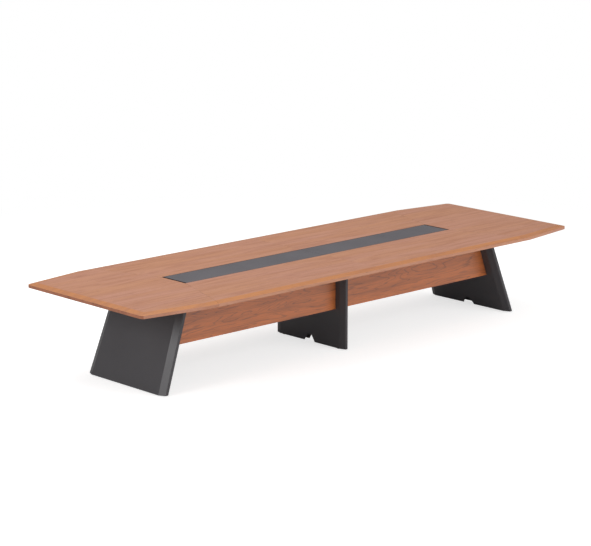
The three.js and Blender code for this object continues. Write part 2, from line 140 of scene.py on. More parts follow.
class TableStudio(bpy.types.PropertyGroup):
    """Camera and light"""

    camera_target: bpy.props.FloatVectorProperty(
        name="Camera target", description="Point that the camera looks at",
        default=(0.1449, 0.3576, 0.5), subtype="XYZ", unit="LENGTH")
    camera_distance: bpy.props.FloatProperty(
        name="Camera distance", description="From the target to the camera", default=19.0768, unit="LENGTH")
    camera_heading: bpy.props.FloatProperty(
        name="Camera heading", description="Direction of view, measured from +X in plan",
        default=math.radians(46.8842), subtype="ANGLE")
    camera_pitch: bpy.props.FloatProperty(
        name="Camera pitch", description="How far the view looks down",
        default=math.radians(12.8860), subtype="ANGLE")
    camera_lens: bpy.props.FloatProperty(
        name="Lens", description="Focal length in millimetres on a 36 mm sensor", default=137.116)
    sky_front: bpy.props.FloatProperty(
        name="Sky, front", description="Strength of the even light from the front", default=0.80)
    sky_back: bpy.props.FloatProperty(
        name="Sky, back", description="Strength of the even light from the back", default=0.25)
    key_power: bpy.props.FloatProperty(
        name="Key power", description="Watts of the large front lamp", default=260.0)
    fill_power: bpy.props.FloatProperty(
        name="Fill power", description="Watts of the overhead lamp", default=245.0)
    side_power: bpy.props.FloatProperty(
        name="Side power", description="Watts of the strip lamp at the left end", default=92.0)
    floor_glow: bpy.props.FloatProperty(
        name="Floor glow", description="White of the floor that shadows don't take", default=0.68)
    floor_shadow: bpy.props.FloatProperty(
        name="Floor shadow", description="Share of the floor's white that shadows take", default=0.66)


# Shader helpers


def linear(hex_colour):
    """An sRGB hex colour as linear RGBA."""
    channels = [int(hex_colour[i:i + 2], 16) / 255 for i in (1, 3, 5)]
    curve = [c / 12.92 if c <= 0.04045 else ((c + 0.055) / 1.055) ** 2.4 for c in channels]
    return (*curve, 1.0)


def add_node(tree, kind, settings=None, inputs=None, stops=()):
    """Adds a node with its settings; an input is a socket to link or a value to set."""
    made = tree.nodes.new(kind)
    for name, value in (settings or {}).items():
        setattr(made, name, value)
    for key, value in (inputs or {}).items():
        if isinstance(value, bpy.types.NodeSocket):
            tree.links.new(value, made.inputs[key])
        else:
            made.inputs[key].default_value = value
    for i, (place, colour) in enumerate(stops):
        stop = made.color_ramp.elements[i] if i < 2 else made.color_ramp.elements.new(place)
        stop.position = place
        stop.color = colour
    return made


def new_material(name):
    """A material with an empty tree and its output."""
    material = bpy.data.materials.new(name)
    material.use_nodes = True
    tree = material.node_tree
    tree.nodes.clear()
    return material, tree, add_node(tree, "ShaderNodeOutputMaterial")


# Walnut veneer: scales are repeats in a metre along X, Y and Z, so the grain runs along the table
STREAK_ALONG = 3.0
STREAK_ACROSS = 26.0
PATCH_ALONG = 1.4
PATCH_ACROSS = 7.0
PORE_SCALE = (14.0, 480.0, 480.0)
PORE_RELIEF = 0.15 * MM


def veneer(
        name, light, blush, dark, pore, leaf_scale, line_count, line_width, roughness, contrast, lacquer):
    """Sliced walnut under satin lacquer: long soft growth lines that bend into arches, and short fine pores.

    Noise stretched along X is read as height lines, as a slicing knife meets the growth rings. The lines are
    roughly 10 to 50 mm apart. The pores, in truth 0.2 mm wide, are drawn 2 mm wide so that they show.
    """
    material, tree, out = new_material(name)
    place = add_node(tree, "ShaderNodeTexCoord")
    shift = add_node(tree, "ShaderNodeAttribute", {"attribute_name": "grain_shift"})
    moved = add_node(tree, "ShaderNodeVectorMath", {"operation": "ADD"}, {
        0: place.outputs["Object"], 1: shift.outputs["Vector"]})
    leaf = add_node(tree, "ShaderNodeMapping", inputs={"Vector": moved.outputs[0], "Scale": leaf_scale})
    field = add_node(tree, "ShaderNodeTexNoise", inputs={
        "Vector": leaf.outputs[0], "Scale": 1.0, "Detail": 3.0, "Roughness": 0.42, "Distortion": 0.25})
    phase = add_node(tree, "ShaderNodeMath", {"operation": "MULTIPLY"}, {
        0: field.outputs[0], 1: float(line_count)})
    lines = add_node(tree, "ShaderNodeMath", {"operation": "PINGPONG"}, {0: phase.outputs[0], 1: 0.5})
    growth = add_node(tree, "ShaderNodeMapRange", {"interpolation_type": "SMOOTHSTEP"}, {
        "Value": lines.outputs[0], "From Min": 0.0, "From Max": line_width,
        "To Min": contrast, "To Max": 0.0})
    streak_place = add_node(tree, "ShaderNodeMapping", inputs={
        "Vector": moved.outputs[0],
        "Scale": (STREAK_ALONG * leaf_scale[0], STREAK_ACROSS, STREAK_ACROSS)})
    streak = add_node(tree, "ShaderNodeTexNoise", inputs={
        "Vector": streak_place.outputs[0], "Scale": 1.0, "Detail": 2.0, "Roughness": 0.55})
    streak_share = add_node(tree, "ShaderNodeMapRange", inputs={
        "Value": streak.outputs[0], "From Min": 0.42, "From Max": 0.72,
        "To Min": 0.0, "To Max": contrast * 0.9})
    shade = add_node(tree, "ShaderNodeMath", {"operation": "ADD", "use_clamp": True}, {
        0: growth.outputs[0], 1: streak_share.outputs[0]})
    pore_place = add_node(tree, "ShaderNodeMapping", inputs={
        "Vector": moved.outputs[0], "Scale": PORE_SCALE})
    pores = add_node(tree, "ShaderNodeTexNoise", inputs={
        "Vector": pore_place.outputs[0], "Scale": 1.0, "Detail": 1.0, "Roughness": 0.5})
    pore_share = add_node(tree, "ShaderNodeMapRange", inputs={
        "Value": pores.outputs[0], "From Min": 0.58, "From Max": 0.74, "To Min": 0.0, "To Max": 0.55})
    patch_place = add_node(tree, "ShaderNodeMapping", inputs={
        "Vector": moved.outputs[0],
        "Scale": (PATCH_ALONG * leaf_scale[0], PATCH_ACROSS, PATCH_ACROSS)})
    patch = add_node(tree, "ShaderNodeTexNoise", inputs={
        "Vector": patch_place.outputs[0], "Scale": 1.0, "Detail": 2.0, "Roughness": 0.5})
    patch_share = add_node(tree, "ShaderNodeMapRange", inputs={
        "Value": patch.outputs[0], "From Min": 0.35, "From Max": 0.65})
    ground = add_node(tree, "ShaderNodeMix", {"data_type": "RGBA"}, {
        0: patch_share.outputs[0], 6: linear(light), 7: linear(blush)})
    wood = add_node(tree, "ShaderNodeMix", {"data_type": "RGBA"}, {
        0: shade.outputs[0], 6: ground.outputs[2], 7: linear(dark)})
    pored = add_node(tree, "ShaderNodeMix", {"data_type": "RGBA"}, {
        0: pore_share.outputs[0], 6: wood.outputs[2], 7: linear(pore)})
    sheen = add_node(tree, "ShaderNodeMapRange", inputs={
        "Value": streak.outputs[0], "To Min": roughness - 0.05, "To Max": roughness + 0.07})
    relief = add_node(tree, "ShaderNodeBump", inputs={
        "Strength": 0.12, "Distance": PORE_RELIEF, "Height": pores.outputs[0]})
    surface = add_node(tree, "ShaderNodeBsdfPrincipled", inputs={
        "Base Color": pored.outputs[2], "Roughness": sheen.outputs[0], "Normal": relief.outputs[0],
        "IOR": 1.5, "Specular IOR Level": 0.35,
        "Coat Weight": lacquer, "Coat Roughness": 0.36, "Coat IOR": 1.75})
    tree.links.new(surface.outputs[0], out.inputs[0])
    return material


def speckled(
        name, base, fleck, grain_mm, roughness, metallic=0.0, relief_mm=0.05, stretch=(1.0, 1.0, 1.0)):
    """A made surface with fine flecks: powder coat, laminate, backing foil, moulded plastic or plated steel.

    Two sizes of noise give the grit and slow changes of tone, and the grit also raises the surface a little.
    """
    material, tree, out = new_material(name)
    place = add_node(tree, "ShaderNodeTexCoord")
    scaled = add_node(tree, "ShaderNodeMapping", inputs={
        "Vector": place.outputs["Object"], "Scale": stretch})
    grit = add_node(tree, "ShaderNodeTexNoise", inputs={
        "Vector": scaled.outputs[0], "Scale": 1 / (grain_mm * MM), "Detail": 2.0, "Roughness": 0.6})
    drift = add_node(tree, "ShaderNodeTexNoise", inputs={
        "Vector": place.outputs["Object"], "Scale": 3.0, "Detail": 3.0, "Roughness": 0.5})
    both = add_node(tree, "ShaderNodeMath", {"operation": "MULTIPLY_ADD"}, {
        0: drift.outputs[0], 1: 0.4, 2: grit.outputs[0]})
    share = add_node(tree, "ShaderNodeMapRange", inputs={
        "Value": both.outputs[0], "From Min": 0.45, "From Max": 0.95, "To Min": 0.0, "To Max": 1.0})
    colour = add_node(tree, "ShaderNodeMix", {"data_type": "RGBA"}, {
        0: share.outputs[0], 6: linear(base), 7: linear(fleck)})
    sheen = add_node(tree, "ShaderNodeMapRange", inputs={
        "Value": share.outputs[0], "To Min": roughness - 0.04, "To Max": roughness + 0.06})
    relief = add_node(tree, "ShaderNodeBump", inputs={
        "Strength": 0.25, "Distance": relief_mm * MM, "Height": grit.outputs[0]})
    surface = add_node(tree, "ShaderNodeBsdfPrincipled", inputs={
        "Base Color": colour.outputs[2], "Roughness": sheen.outputs[0], "Normal": relief.outputs[0],
        "Metallic": metallic})
    tree.links.new(surface.outputs[0], out.inputs[0])
    return material


def material_once(name, make, *settings, **more):
    """The material of that name, made the first time it is asked for."""
    return bpy.data.materials.get(name) or make(name, *settings, **more)


def finish():
    return bpy.context.scene.table_finish


def walnut_cut(
        name, light, blush, dark, leaf_scale, line_count, line_width, roughness, contrast, lacquer=0.0):
    return material_once(
        name, veneer, light, blush, dark, finish().veneer_pore,
        leaf_scale, line_count, line_width, roughness, contrast, lacquer)


# Quarter cut for the top: long straight lines, low contrast, pinker and more orange patches.
def walnut():
    look = finish()
    return walnut_cut(
        "walnut_veneer_quarter_cut", look.veneer_light, look.veneer_blush, look.veneer_dark,
        leaf_scale=(0.6, 8.0, 8.0), line_count=7, line_width=0.3, roughness=0.42, contrast=0.36)


# Crown cut for the aprons: thin dark lines that close into arches, under a lacquer that reflects the white
# room, so the wood looks deeper and more orange where a leg hides the room.
def apron_walnut():
    look = finish()
    return walnut_cut(
        "walnut_veneer_crown_cut", look.apron_colour, look.apron_colour, look.apron_dark,
        leaf_scale=(0.7, 8.0, 8.0), line_count=17, line_width=0.15, roughness=0.46, contrast=0.58,
        lacquer=1.0)


# Solid walnut for the bevel: planed across the growth rings, so it is warmer and plainer than the veneer.
def bevel_walnut():
    look = finish()
    return walnut_cut(
        "walnut_lipping_planed", look.lipping_colour, look.lipping_colour, look.veneer_dark,
        leaf_scale=(0.7, 5.0, 5.0), line_count=6, line_width=0.3, roughness=0.4, contrast=0.35)


# Edge band on the long sides, drawn as the palest wood on the table: painted light, as the light from the
# front falls most on these edges.
def edge_walnut_painted_light():
    look = finish()
    return walnut_cut(
        "walnut_edge_band_sanded", look.edge_lit_colour, look.veneer_blush, look.veneer_dark,
        leaf_scale=(0.7, 5.0, 5.0), line_count=5, line_width=0.3, roughness=0.42, contrast=0.3)


# The square edges at the ends are drawn darker than the long edges: painted shade, as less light falls on
# the ends.
def end_walnut_painted_shade():
    look = finish()
    return walnut_cut(
        "walnut_end_grain_lacquered", look.end_shaded_colour, look.veneer_dark, look.veneer_dark,
        leaf_scale=(5.0, 5.0, 40.0), line_count=5, line_width=0.3, roughness=0.5, contrast=0.5)


# The groove at a joint and the inner walls of the panels are drawn dark: painted shade in the groove.
def joint_painted_shade():
    return material_once("joint_dark_lacquer", speckled, "#4A3026", "#5C3C30", 2.0, 0.6)


# Powder coat hides the steel under a fine even grit with a soft sheen; its 0.3 mm grit is drawn 2 mm wide.
def powder_coat():
    return material_once(
        "powder_coat_dark_grey", speckled, finish().paint_colour, "#525053", 2.0, 0.4, relief_mm=0.06)


# Melamine laminate is flat and even with a faint fleck from the printed paper.
def lid_laminate():
    return material_once(
        "melamine_laminate_grey", speckled, finish().lid_colour, "#69666B", 3.0, 0.5, relief_mm=0.03)


# Upright edges of the lids are drawn near black: painted shade, so that the gaps around them read as dark
# lines.
def lid_edge_painted_shade():
    return material_once("edge_band_black_plastic", speckled, "#141415", "#1C1C1E", 1.5, 0.6, relief_mm=0.02)


# Backing foil under the boards is a dull printed paper.
def backing_foil():
    return material_once("backing_foil_brown", speckled, "#8A6450", "#96705A", 5.0, 0.65, relief_mm=0.02)


# Zinc plate shows the rolling direction of the sheet as faint lines and a slightly cloudy grey.
def zinc_plate():
    return material_once(
        "zinc_plated_steel", speckled, "#8F9296", "#A6A9AC", 1.5, 0.38,
        metallic=1.0, stretch=(0.08, 1.0, 1.0))


# Blackened hinge stock has a thin dark oxide with rolled lines along its length.
def black_steel():
    return material_once(
        "blackened_hinge_steel", speckled, "#2E2E30", "#3A3A3C", 1.2, 0.45,
        metallic=0.6, stretch=(0.05, 1.0, 1.0))


# Nylon for the feet is moulded with a fine spark-eroded grain.
def black_nylon():
    return material_once("moulded_nylon_black", speckled, "#1E1E20", "#28282A", 1.0, 0.6, relief_mm=0.08)


# Mesh helpers


def link_piece(name, mesh):
    piece = bpy.data.objects.new(name, mesh)
    bpy.context.scene.collection.objects.link(piece)
    return piece


def settle(piece):
    """Turns a piece's modifiers into its plain mesh."""
    depsgraph = bpy.context.evaluated_depsgraph_get()
    mesh = bpy.data.meshes.new_from_object(
        piece.evaluated_get(depsgraph), preserve_all_data_layers=True, depsgraph=depsgraph)
    used = piece.data
    piece.modifiers.clear()
    piece.data = mesh
    bpy.data.meshes.remove(used)


def eased(node, radius, angle=EASE_ANGLE):
    """A copy of a CAD node with its triangles joined into flat faces and its edges rounded over."""
    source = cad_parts[node].data
    mesh = bpy.data.meshes.new(node + "_eased")
    mesh.from_pydata([v.co for v in source.vertices], [], [list(p.vertices) for p in source.polygons])
    work = bmesh.new()
    work.from_mesh(mesh)
    bmesh.ops.remove_doubles(work, verts=work.verts, dist=MERGE_DISTANCE)
    bmesh.ops.dissolve_limit(work, angle_limit=FLAT_ANGLE, verts=work.verts, edges=work.edges)
    for face in work.faces:
        face.smooth = True
    work.to_mesh(mesh)
    work.free()
    piece = link_piece(node + "_eased", mesh)
    bevel = piece.modifiers.new("eased edges", "BEVEL")
    bevel.width = radius
    bevel.segments = 3
    bevel.limit_method = "ANGLE"
    bevel.angle_limit = angle
    weighted = piece.modifiers.new("flat faces stay flat", "WEIGHTED_NORMAL")
    weighted.weight = 100
    settle(piece)
    return piece


def stand_for(piece, body, slot, *nodes):
    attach(piece, body)
    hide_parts(*nodes)


def shift_grain(piece, x, y, z):
    """Moves the grain pattern on one panel, as each panel is cut from another sheet."""
    layer = piece.data.attributes.new("grain_shift", "FLOAT_VECTOR", "POINT")
    for point in layer.data:
        point.vector = (x, y, z)


def dress(node, radius, body, slot, material, angle=EASE_ANGLE):
    """Eases one node, gives it one material and lets it stand for the node."""
    piece = eased(node, radius, angle)
    piece.data.materials.append(material)
    stand_for(piece, body, slot, node)
    return piece


# Tabletop

TAPER_LENGTH = 575 * MM
TAPER_DEPTH = 92 * MM
LEVEL = 0.999
SLOPE = 0.9
UPRIGHT = 0.5
JOINT_LIMIT = 1.8
PANEL_GRAIN_STEP = (1.37, 0.61, 0.23)
VENEER, BEVEL, LONG_EDGE_LIT, END_EDGE_SHADED, GROOVE_SHADE, BACKING = range(6)


def outline_distance(point):
    """How far in from the table's outline a point is, in plan."""
    end, side, height = CAD_BOX[1]
    along, across = abs(point.x), abs(point.y)
    run = math.hypot(TAPER_LENGTH, TAPER_DEPTH)
    taper = (TAPER_DEPTH * (end - TAPER_LENGTH - along) + TAPER_LENGTH * (side - across)) / run
    return min(end - along, side - across, taper)


class TABLE_OT_tabletop(bpy.types.Operator):
    """Veneered panels of the top with solid lipping along the bevel and the edge"""

    bl_idname = "table.tabletop"
    bl_label = "Tabletop"

    def execute(self, context):
        look = finish()
        panels = [("end", side) for side in SIDES] + [(depth, side) for depth in DEPTHS for side in SIDES]
        for index, (part, side) in enumerate(panels):
            node = f"tabletop_{part}_{side}"
            piece = eased(node, look.wood_edge)
            # In the order of VENEER to BACKING
            for make in (walnut, bevel_walnut, edge_walnut_painted_light, end_walnut_painted_shade, joint_painted_shade, backing_foil):
                piece.data.materials.append(make())
            for face in piece.data.polygons:
                face.material_index = self.finish_of(piece.data, face, look.lipping_width)
            shift_grain(piece, *(index * step for step in PANEL_GRAIN_STEP))
            stand_for(piece, "frame", "top_wood", node)
        return {"FINISHED"}

    def finish_of(self, mesh, face, width):
        """Which of the panel's materials a face takes, by the way it faces and its place in plan."""
        normal = face.normal
        reach = max(outline_distance(mesh.vertices[i].co) for i in face.vertices)
        if normal.z < -SLOPE:
            return BACKING
        if SLOPE < normal.z < LEVEL and reach < TAPER_DEPTH:
            return BEVEL
        if normal.z > SLOPE:
            return VENEER
        # Painted shade: faces inside the grooves and the slot take the dark groove material.
        if reach > width:
            return GROOVE_SHADE
        # Painted light and shade: upright faces at the ends take the darker end colour, and the long edges
        # take the paler one.
        if abs(normal.x) > UPRIGHT:
            return END_EDGE_SHADED if abs(face.center.x) > JOINT_LIMIT else GROOVE_SHADE
        return LONG_EDGE_LIT


class TABLE_OT_lids(bpy.types.Operator):
    """Grey laminate lids over the cable slot"""

    bl_idname = "table.lids"
    bl_label = "Lids"

    def execute(self, context):
        for side in SIDES:
            piece = dress(f"lid_{side}", finish().lid_edge, f"lid_{side}", "lid_laminate", lid_laminate())
            piece.data.materials.append(lid_edge_painted_shade())
            for face in piece.data.polygons:
                # Painted shade: upright faces of each lid take the near-black material.
                face.material_index = int(abs(face.normal.z) < UPRIGHT)
        return {"FINISHED"}


# Hinges

LEAF_THICK = 1.5 * MM
BARREL_RADIUS = 3 * MM
LEAF_SETBACK = 0.5 * MM
LEAF_CLEARANCE = 0.4 * MM
BARREL_SIDES = 24


def input_socket(tree, name, kind):
    return tree.interface.new_socket(name=name, in_out="INPUT", socket_type=kind)


def node_group(name, inputs):
    """A geometry tree with named inputs; gives the tree, its input node and the inputs' identifiers."""
    tree = bpy.data.node_groups.new(name, "GeometryNodeTree")
    tree.interface.new_socket(name="Geometry", in_out="OUTPUT", socket_type="NodeSocketGeometry")
    sockets = {label: input_socket(tree, label, kind).identifier for label, kind in inputs.items()}
    return tree, add_node(tree, "NodeGroupInput"), sockets


def close_tree(tree, geometry, material):
    """Ends a geometry tree: real mesh, its material, and the output."""
    solid = add_node(tree, "GeometryNodeRealizeInstances", inputs={"Geometry": geometry})
    coloured = add_node(tree, "GeometryNodeSetMaterial", inputs={
        "Geometry": solid.outputs[0], "Material": material})
    add_node(tree, "NodeGroupOutput", inputs={0: coloured.outputs[0]})


def grow(name, tree, sockets, values, mesh=None):
    """Runs a geometry tree with its inputs set and keeps the result as a plain mesh."""
    piece = link_piece(name, mesh or bpy.data.meshes.new(name))
    grown = piece.modifiers.new("grown", "NODES")
    grown.node_group = tree
    for label, value in values.items():
        grown[sockets[label]] = value
    piece.update_tag()
    settle(piece)
    return piece


def hinge_tree():
    """One leaf of a continuous hinge: every second knuckle on a line along X, each tied to a flat leaf."""
    tree, given, sockets = node_group("hinge_leaf", {
        "Geometry": "NodeSocketGeometry", "First": "NodeSocketVector", "Step": "NodeSocketVector",
        "Count": "NodeSocketInt", "Length": "NodeSocketFloat", "Radius": "NodeSocketFloat",
        "Tie size": "NodeSocketVector", "Tie place": "NodeSocketVector",
        "Leaf size": "NodeSocketVector", "Leaf place": "NodeSocketVector", "Material": "NodeSocketMaterial"})
    take = given.outputs
    line = add_node(tree, "GeometryNodeMeshLine", {"mode": "OFFSET"}, {
        "Count": take["Count"], "Start Location": take["First"], "Offset": take["Step"]})
    barrel = add_node(tree, "GeometryNodeMeshCylinder", inputs={
        "Vertices": BARREL_SIDES, "Radius": take["Radius"], "Depth": take["Length"]})
    along = add_node(tree, "GeometryNodeTransform", inputs={
        "Geometry": barrel.outputs[0], "Rotation": (0.0, math.pi / 2, 0.0)})
    faceted = add_node(tree, "GeometryNodeSetShadeSmooth", inputs={
        "Geometry": along.outputs[0], "Shade Smooth": False})
    tie = add_node(tree, "GeometryNodeMeshCube", inputs={"Size": take["Tie size"]})
    tie_at = add_node(tree, "GeometryNodeTransform", inputs={
        "Geometry": tie.outputs[0], "Translation": take["Tie place"]})
    knuckle = add_node(tree, "GeometryNodeJoinGeometry")
    tree.links.new(faceted.outputs[0], knuckle.inputs[0])
    tree.links.new(tie_at.outputs[0], knuckle.inputs[0])
    row = add_node(tree, "GeometryNodeInstanceOnPoints", inputs={
        "Points": line.outputs[0], "Instance": knuckle.outputs[0]})
    leaf = add_node(tree, "GeometryNodeMeshCube", inputs={"Size": take["Leaf size"]})
    leaf_at = add_node(tree, "GeometryNodeTransform", inputs={
        "Geometry": leaf.outputs[0], "Translation": take["Leaf place"]})
    whole = add_node(tree, "GeometryNodeJoinGeometry")
    tree.links.new(row.outputs[0], whole.inputs[0])
    tree.links.new(leaf_at.outputs[0], whole.inputs[0])
    close_tree(tree, whole.outputs[0], take["Material"])
    return tree, sockets


class TABLE_OT_hinges(bpy.types.Operator):
    """Continuous hinges along the back of the lids"""

    bl_idname = "table.hinges"
    bl_label = "Hinges"

    def execute(self, context):
        look = finish()
        tree, sockets = hinge_tree()
        for side in SIDES:
            low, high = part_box(f"hinge_pin_{side}")
            axis = (low + high) / 2
            count = round((high.x - low.x) / look.knuckle_pitch)
            pitch = (high.x - low.x) / count
            for part, body, first, toward in (("fixed", "frame", 0, 1), ("moving", f"lid_{side}", 1, -1)):
                node = f"hinge_{part}_leaf_{side}"
                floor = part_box(node)[0].z
                leaf_y = toward * (BARREL_RADIUS + LEAF_SETBACK - LEAF_THICK / 2)
                leaf_top = axis.z - BARREL_RADIUS - LEAF_CLEARANCE
                piece = grow(node + "_knuckled", tree, sockets, {
                    "First": (low.x + pitch * (first + 0.5), axis.y, axis.z),
                    "Step": (2 * pitch, 0.0, 0.0),
                    "Count": (count - first + 1) // 2,
                    "Length": pitch - look.knuckle_gap,
                    "Radius": BARREL_RADIUS,
                    "Tie size": (pitch - look.knuckle_gap, LEAF_THICK, axis.z - leaf_top + LEAF_THICK),
                    "Tie place": (0.0, leaf_y, (leaf_top - LEAF_THICK - axis.z) / 2),
                    "Leaf size": (high.x - low.x, LEAF_THICK, leaf_top - floor),
                    "Leaf place": (axis.x, axis.y + leaf_y, (leaf_top + floor) / 2),
                    "Material": black_steel()})
                stand_for(piece, body, "hinge_steel", node)
            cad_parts[f"hinge_pin_{side}"].data.materials[0] = zinc_plate()
        return {"FINISHED"}


# Aprons and legs

LEG_LEAN = math.radians(20)
APRON_GRAIN_START = 4.1
APRON_GRAIN_STEP = (2.3, 0.9, 0.37)


class TABLE_OT_aprons(bpy.types.Operator):
    """Veneered boards between the legs"""

    bl_idname = "table.aprons"
    bl_label = "Aprons"

    def execute(self, context):
        for index, (depth, side) in enumerate((d, s) for d in DEPTHS for s in SIDES):
            piece = dress(f"apron_{depth}_{side}", finish().wood_edge, "frame", "apron_wood", apron_walnut())
            x, y, z = (index * step for step in APRON_GRAIN_STEP)
            shift_grain(piece, APRON_GRAIN_START + x, y, z)
        return {"FINISHED"}


class TABLE_OT_legs(bpy.types.Operator):
    """Powder coated legs: folded shells, covers and top plates"""

    bl_idname = "table.legs"
    bl_label = "Legs"

    def execute(self, context):
        look = finish()
        for leg in LEGS:
            dress(f"leg_{leg}_shell", look.fold_radius, "frame", "leg_paint", powder_coat())
            dress(f"leg_{leg}_cover", look.sheet_edge, "frame", "leg_paint", powder_coat())
            dress(f"leg_{leg}_plate", look.sheet_edge, "frame", "plate_steel", zinc_plate())
        return {"FINISHED"}


class TABLE_OT_feet(bpy.types.Operator):
    """Levelling feet under the legs"""

    bl_idname = "table.feet"
    bl_label = "Feet"

    def execute(self, context):
        for leg in LEGS:
            for depth in DEPTHS:
                node = f"foot_{leg}_{depth}"
                dress(node, finish().sheet_edge, node, "foot_black", black_nylon(), TURNED_ANGLE)
        return {"FINISHED"}


class TABLE_OT_steelwork(bpy.types.Operator):
    """Cable trays, angle brackets and seam plates under the top"""

    bl_idname = "table.steelwork"
    bl_label = "Steelwork"

    def execute(self, context):
        edge = finish().sheet_edge
        for side in SIDES:
            dress(f"cable_tray_{side}", edge, "frame", "leg_paint", powder_coat())
            for depth in DEPTHS:
                for part in ("bracket_middle", "bracket_end", "seam_plate"):
                    dress(f"{part}_{depth}_{side}", edge, "frame", "plate_steel", zinc_plate())
        return {"FINISHED"}


# Fasteners

HEAD_HEIGHT = 3.6 * MM
HEAD_TAPER = 0.72
HEAD_SIDES = 24
SHANK_RADIUS = 2.5 * MM
SHANK_SINK = 0.5 * MM
RECESS_WIDTH = 1.6 * MM
RECESS_LENGTH = 6.5 * MM
RECESS_DEPTH = 1.8 * MM
BRACKET_WIDTH = 40 * MM
BRACKET_THICK = 3 * MM
BRACKET_SCREW = 24 * MM
FLANGE_SCREW = 11 * MM
FLANGE_THICK = 2 * MM
FLANGE_SCREW_COUNT = 6
SEAM_RUN = 226 * MM
SEAM_REACH = 654 * MM
SEAM_CROSS_ANGLE = math.atan2(SEAM_RUN, SEAM_REACH)
SEAM_SCREWS = (-60 * MM, -32 * MM, 32 * MM, 60 * MM)


def screw_tree():
    """Pan heads with a cross recess on points, each turned to its point's axis, with or without a shank."""
    tree, given, sockets = node_group("pan_head_screws", {
        "Geometry": "NodeSocketGeometry", "Radius": "NodeSocketFloat", "Height": "NodeSocketFloat",
        "Shank": "NodeSocketFloat", "Recess across": "NodeSocketVector",
        "Recess along": "NodeSocketVector", "Material": "NodeSocketMaterial"})
    take = given.outputs
    small = add_node(tree, "ShaderNodeMath", {"operation": "MULTIPLY"}, {0: take["Radius"], 1: HEAD_TAPER})
    head = add_node(tree, "GeometryNodeMeshCone", inputs={
        "Vertices": HEAD_SIDES, "Radius Top": small.outputs[0], "Radius Bottom": take["Radius"],
        "Depth": take["Height"]})
    lift = add_node(tree, "ShaderNodeCombineXYZ", inputs={"Z": take["Height"]})
    bars = [add_node(tree, "GeometryNodeTransform", inputs={
        "Geometry": add_node(tree, "GeometryNodeMeshCube", inputs={"Size": take[label]}).outputs[0],
        "Translation": lift.outputs[0]}) for label in ("Recess across", "Recess along")]
    cut = add_node(tree, "GeometryNodeMeshBoolean", {"operation": "DIFFERENCE", "solver": "EXACT"}, {
        "Mesh 1": head.outputs[0], "Self Intersection": True})
    for bar in bars:
        tree.links.new(bar.outputs[0], cut.inputs["Mesh 2"])
    shank = add_node(tree, "GeometryNodeMeshCylinder", inputs={
        "Vertices": HEAD_SIDES, "Radius": SHANK_RADIUS, "Depth": take["Shank"]})
    sink = add_node(tree, "ShaderNodeMath", {"operation": "MULTIPLY_ADD"}, {
        0: take["Shank"], 1: -0.5, 2: SHANK_SINK})
    behind = add_node(tree, "ShaderNodeCombineXYZ", inputs={"Z": sink.outputs[0]})
    shank_at = add_node(tree, "GeometryNodeTransform", inputs={
        "Geometry": shank.outputs[0], "Translation": behind.outputs[0]})
    shank_if = add_node(tree, "GeometryNodeSwitch", {"input_type": "GEOMETRY"}, {
        "Switch": take["Shank"], "True": shank_at.outputs[0]})
    screw = add_node(tree, "GeometryNodeJoinGeometry")
    tree.links.new(cut.outputs[0], screw.inputs[0])
    tree.links.new(shank_if.outputs[0], screw.inputs[0])
    axis = add_node(tree, "GeometryNodeInputNamedAttribute", {"data_type": "FLOAT_VECTOR"}, {
        "Name": "screw_axis"})
    turn = add_node(tree, "FunctionNodeAlignRotationToVector", {"axis": "Z"}, {"Vector": axis.outputs[0]})
    row = add_node(tree, "GeometryNodeInstanceOnPoints", inputs={
        "Points": take["Geometry"], "Instance": screw.outputs[0], "Rotation": turn.outputs[0]})
    close_tree(tree, row.outputs[0], take["Material"])
    return tree, sockets


def screw_points(name, places):
    """Points for a row of screws, with the way that each head faces."""
    mesh = bpy.data.meshes.new(name)
    mesh.from_pydata([place for place, axis in places], [], [])
    layer = mesh.attributes.new("screw_axis", "FLOAT_VECTOR", "POINT")
    for point, (place, axis) in zip(layer.data, places):
        point.vector = axis
    return mesh


